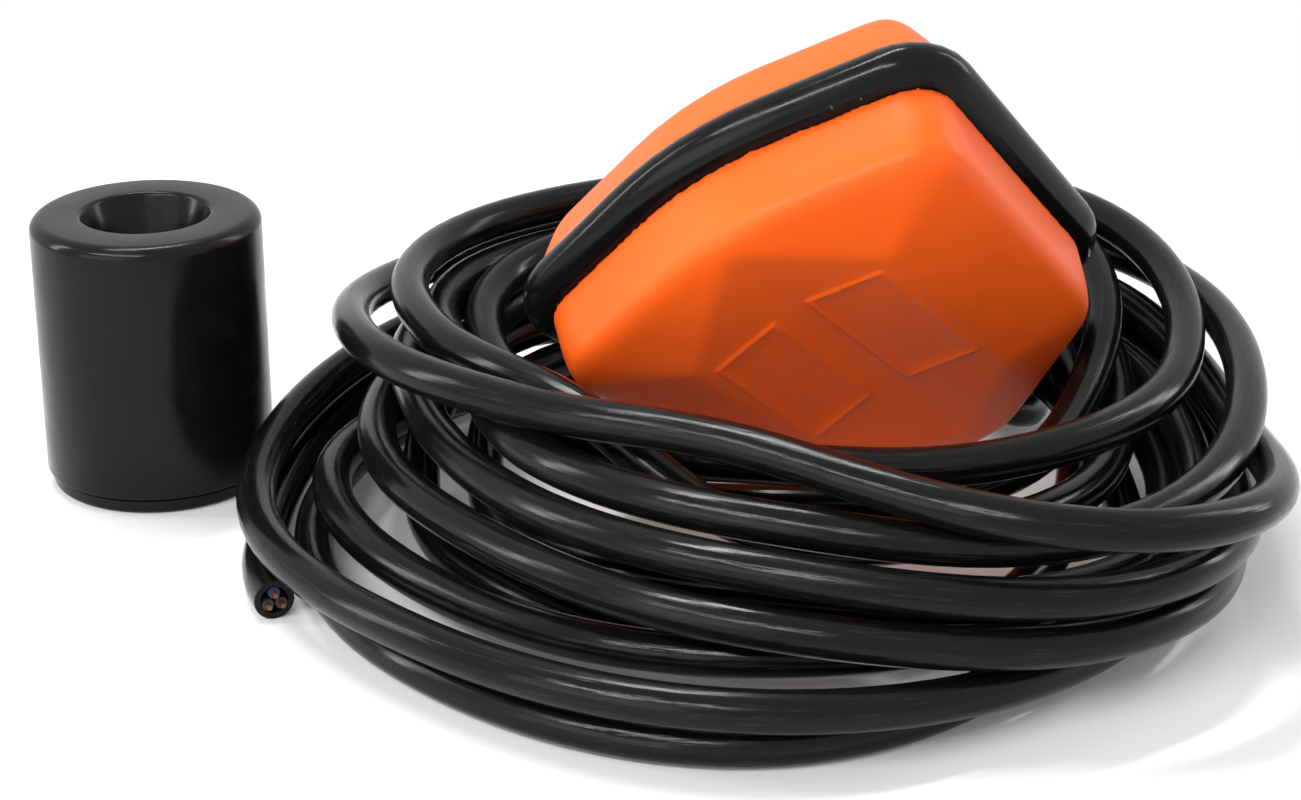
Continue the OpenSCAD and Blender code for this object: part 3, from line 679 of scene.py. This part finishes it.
class ShellsOperator(bpy.types.Operator):
    """Finishes the float's two shells as soft mouldings, with a raised frame round each bare panel"""

    bl_idname = "float_switch.shells"
    bl_label = "Float shells"
    grid = 0.0008
    # millimetres off the seat that stay crisp, and shares of the reach that get one more round each
    crisp = 1.2
    reach_shares = (1.0, 0.85, 0.7, 0.55)
    shoulder_rounds = 14
    face_rounds = 9
    seat_rounds = 2
    front_shoulder = 20.0
    rear_shoulder = -25.0
    front_seat = 2.5
    rear_seat = -8.3
    valley_start = (10.3, 0, 21.3)
    valley_rise = 0.69
    valley_slope = 10.03
    frame_width = 1.1
    # side of the valley, then the panel's start, length, and near and far edges
    panels = ((1, 26, 40, 3.5, 22.5), (-1, 26.5, 38, 6, 22.5))

    def execute(self, context):
        settings = context.scene.float_switch_float
        plastic = moulded("orange plastic", tuple(settings.colour), 0.42, 0.04, 0.05, 1100.0, specular=0.2)
        to_float = float_matrix().inverted()
        pieces = (
            ("front_shell", "front_face", self.front_shoulder, self.front_seat, settings.rounding),
            ("rear_shell", "rear_face", self.rear_shoulder, self.rear_seat, settings.rounding * 0.7),
        )
        for node, name, shoulder, seat, reach in pieces:
            bm = copy_of(node)
            ring = self.shoulder_ring(bm, to_float, shoulder)
            bm = self.fine_grid(context, bm)
            self.soften(bm, to_float, ring, seat, reach / MM)
            if node == "front_shell":
                for panel in self.panels:
                    self.raise_frame(bm, *panel, settings.frame_raise / MM)
            shell = piece_from(bm, name, plastic, 60.0)
            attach(shell, "float")
            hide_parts(node)
        return {"FINISHED"}

    def shoulder_ring(self, bm, to_float, height):
        """The shoulder's line, where the side meets the face, as a tree of close points."""
        spots = []
        for edge in bm.edges:
            a, b = (to_float @ v.co for v in edge.verts)
            if abs(a.z - height) < 0.1 and abs(b.z - height) < 0.1:
                count = math.ceil((b - a).length)
                spots += [a.lerp(b, k / count) for k in range(count + 1)]
        tree = KDTree(len(spots))
        for i, spot in enumerate(spots):
            tree.insert(spot, i)
        tree.balance()
        return tree

    def fine_grid(self, context, bm):
        """The same shell on an even grid that can be softened."""
        coarse = bpy.data.meshes.new("coarse")
        bm.to_mesh(coarse)
        bm.free()
        holder = bpy.data.objects.new("coarse", coarse)
        context.scene.collection.objects.link(holder)
        remesh = holder.modifiers.new("grid", "REMESH")
        remesh.mode = "VOXEL"
        remesh.voxel_size = self.grid
        depsgraph = context.evaluated_depsgraph_get()
        fine = bpy.data.meshes.new_from_object(holder.evaluated_get(depsgraph))
        bm = bmesh.new()
        bm.from_mesh(fine)
        bpy.data.objects.remove(holder)
        bpy.data.meshes.remove(coarse)
        bpy.data.meshes.remove(fine)
        return bm

    def soften(self, bm, to_float, ring, seat, reach):
        """Rounds the shell's edges, most along the shoulder, and leaves the seat of the band crisp."""
        way = 1 if seat > 0 else -1
        free, near = [], []
        for v in bm.verts:
            spot = to_float @ v.co
            if way * (spot.z - seat) > self.crisp:
                free.append(v)
                near.append(ring.find(spot)[2])
        for part in self.reach_shares:
            self.smooth(bm, [v for v, d in zip(free, near) if d < reach * part], self.shoulder_rounds)
        self.smooth(bm, free, self.face_rounds)
        self.smooth(bm, bm.verts, self.seat_rounds)

    def smooth(self, bm, verts, rounds):
        for _ in range(rounds):
            bmesh.ops.smooth_vert(
                bm, verts=verts, factor=0.5, use_axis_x=True, use_axis_y=True, use_axis_z=True,
            )

    def raise_frame(self, bm, side, start, length, near, far, height):
        """Raises a rounded frame round one bare panel of the face."""
        plane = (
            float_matrix()
            @ Matrix.Translation(self.valley_start)
            @ Matrix.Rotation(math.radians(-self.valley_rise), 4, "Y")
            @ Matrix.Rotation(math.radians(side * self.valley_slope), 4, "X")
        )
        to_plane = plane.inverted()
        up = (plane.to_3x3() @ Vector((0, 0, 1))).normalized()
        middle = Vector((start + length / 2, side * (near + far) / 2))
        half = Vector((length / 2, (far - near) / 2))

        def off_line(co):
            spot = to_plane @ co
            if abs(spot.z) > 2:
                return 9.0
            x = abs(spot.x - middle.x) - half.x
            y = abs(spot.y - middle.y) - half.y
            outside = math.hypot(max(x, 0), max(y, 0))
            return abs(outside + min(max(x, y), 0))

        band = [f for f in bm.faces if off_line(f.calc_center_median()) < 2 * self.frame_width]
        edges = list({e for f in band for e in f.edges})
        bmesh.ops.subdivide_edges(bm, edges=edges, cuts=2, use_grid_fill=True)
        for v in bm.verts:
            d = off_line(v.co) / self.frame_width
            if d < 1:
                v.co += up * height * MM * (1 - d * d) ** 2


class BandOperator(bpy.types.Operator):
    """Finishes the rubber band round the float's seam and the boot at the cable's entry"""

    bl_idname = "float_switch.band"
    bl_label = "Seam band and boot"

    def execute(self, context):
        settings = context.scene.float_switch_float
        rubber = dusty("band rubber", tuple(settings.band_colour), 0.18, (0.2, 0.2, 0.2), 0.02)
        band = piece_from(copy_of("seam_band"), "band", rubber, 50.0)
        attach(band, "float")
        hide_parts("seam_band")
        dress(("cable_boot", "entry_grommet", "case_gasket"), rubber)
        return {"FINISHED"}


class WeightOperator(bpy.types.Operator):
    """Builds the counterweight's skin with its funnel, and its base cap"""

    bl_idname = "float_switch.counterweight"
    bl_label = "Counterweight"
    radius = 27.0
    height = 66.0
    bore = 5.0
    bore_top = 39.0
    mouth = 14.8
    wall = 3.0
    base = 4.0

    def execute(self, context):
        settings = context.scene.float_switch_weight
        skin = dusty("counterweight plastic", tuple(settings.colour), 0.2, (0.16, 0.16, 0.16), 0.0, 1400.0)
        shell = piece_from(self.shell(settings.rounding / MM), "weight_skin", skin, 30.0)
        cap = piece_from(self.cap(), "weight_cap", skin, 30.0)
        for piece, node in ((shell, "weight_shell"), (cap, "weight_base")):
            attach(piece, "weight")
            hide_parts(node)
        return {"FINISHED"}

    def shell(self, r):
        top, out, lip = self.height, self.radius, 1.3
        slope = math.degrees(math.atan2(top - self.bore_top, self.mouth - self.bore))
        profile = [(self.bore, 0.4), (self.bore + 0.4, 0)]
        profile += [(self.bore + 3, 0), (self.bore + 3, self.bore_top - 3)]
        profile += [(self.mouth + self.wall, top - self.wall - 2), (out - self.wall, top - self.wall - 2)]
        profile += [(out - self.wall, self.base), (out - 0.5, self.base)]
        profile += arc(out - 0.5, self.base + 0.5, 0.5, -90, 0, 4)
        profile += arc(out - r, top - r, r, 0, 90, 8)
        profile += arc(self.mouth + lip, top - lip, lip, 90, 90 + slope, 7)
        profile += [(self.bore + 0.5, self.bore_top + 0.6), (self.bore, self.bore_top - 0.8)]
        return lathed(profile, 128)

    def cap(self):
        out = self.radius - 1.2
        inner = self.bore + 3.1
        profile = [(inner, 0), (out - 1.3, 0)] + arc(out - 1.3, 1.3, 1.3, -90, 0, 5)
        profile += [(out, self.base - 0.8), (out - 1, self.base)]
        spigot = self.radius - self.wall - 0.1
        profile += [(spigot, self.base), (spigot, self.base + 6)]
        profile += [(inner, self.base + 6)]
        return lathed(profile, 128)


def dress(nodes, material):
    """Gives CAD nodes a finish."""
    for name in nodes:
        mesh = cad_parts[name].data
        mesh.materials.clear()
        mesh.materials.append(material)


class InsideOperator(bpy.types.Operator):
    """Finishes the sealed switch case, the ball and lever, the wires and the ballast"""

    bl_idname = "float_switch.inside"
    bl_label = "Switch case and ballast"

    def execute(self, context):
        grey = moulded("grey case plastic", (0.45, 0.45, 0.43), 0.5)
        dress(("case_base", "case_lid", "cable_clamp"), grey)
        dress(("ball_track",), moulded("white track plastic", (0.8, 0.8, 0.77), 0.35))
        dress(("switch_body", "switch_cover"), moulded("dark switch plastic", (0.03, 0.03, 0.035), 0.45))
        dress(("switch_plunger",), moulded("red plunger plastic", (0.6, 0.03, 0.02), 0.35))
        steel = metal("drawn steel", (0.62, 0.62, 0.63), 0.25, (1, 1, 0.1))
        dress(("steel_ball", "lever_pin", "case_screws", "clamp_screws"), steel)
        brass = metal("sheet brass", (0.83, 0.62, 0.26), 0.3, (0.1, 1, 1))
        dress(("lever", "contact_blade", "contact_terminals"), brass)
        dress(("core_blue",), moulded("blue wire", (0.02, 0.09, 0.4), 0.4))
        dress(("core_brown",), moulded("brown wire", (0.16, 0.06, 0.025), 0.4))
        dress(("core_black",), moulded("black wire", (0.015, 0.015, 0.015), 0.4))
        dress(("cable_entry",), moulded("entry rubber", (0.012, 0.012, 0.013), 0.4))
        iron = moulded("cast iron", (0.16, 0.16, 0.165), 0.55, 0.2, 0.1, 500.0, 0.0002)
        dress(("weight_ballast",), iron)
        return {"FINISHED"}


class FloatSwitchPanel(bpy.types.Panel):
    """Lists the pieces of the float switch"""

    bl_idname = "FLOAT_SWITCH_PT_pieces"
    bl_label = "Float Switch"
    bl_space_type = "VIEW_3D"
    bl_region_type = "UI"
    bl_category = "Float Switch"

    def draw(self, context):
        layout = self.layout
        for settings in SETTINGS:
            group = getattr(context.scene, settings)
            for key in group.bl_rna.properties.keys():
                if key not in {"rna_type", "name"}:
                    layout.prop(group, key)
        for operator in OPERATORS:
            layout.operator(operator.bl_idname)


SETTINGS = {
    "float_switch_stage": StageSettings,
    "float_switch_cable": CableSettings,
    "float_switch_float": FloatSettings,
    "float_switch_weight": WeightSettings,
}
OPERATORS = (StageOperator, CableOperator, ShellsOperator, BandOperator, WeightOperator, InsideOperator)
CLASSES = (*SETTINGS.values(), *OPERATORS, FloatSwitchPanel)


def register():
    for cls in CLASSES:
        bpy.utils.register_class(cls)
    for name, cls in SETTINGS.items():
        setattr(bpy.types.Scene, name, PointerProperty(type=cls))


def unregister():
    for name in SETTINGS:
        delattr(bpy.types.Scene, name)
    for cls in reversed(CLASSES):
        bpy.utils.unregister_class(cls)


def main():
    register()
    bpy.ops.float_switch.stage()
    bpy.ops.float_switch.cable()
    bpy.ops.float_switch.shells()
    bpy.ops.float_switch.band()
    bpy.ops.float_switch.counterweight()
    bpy.ops.float_switch.inside()
    bpy.context.view_layer.update()


if __name__ == "__main__":
    main()
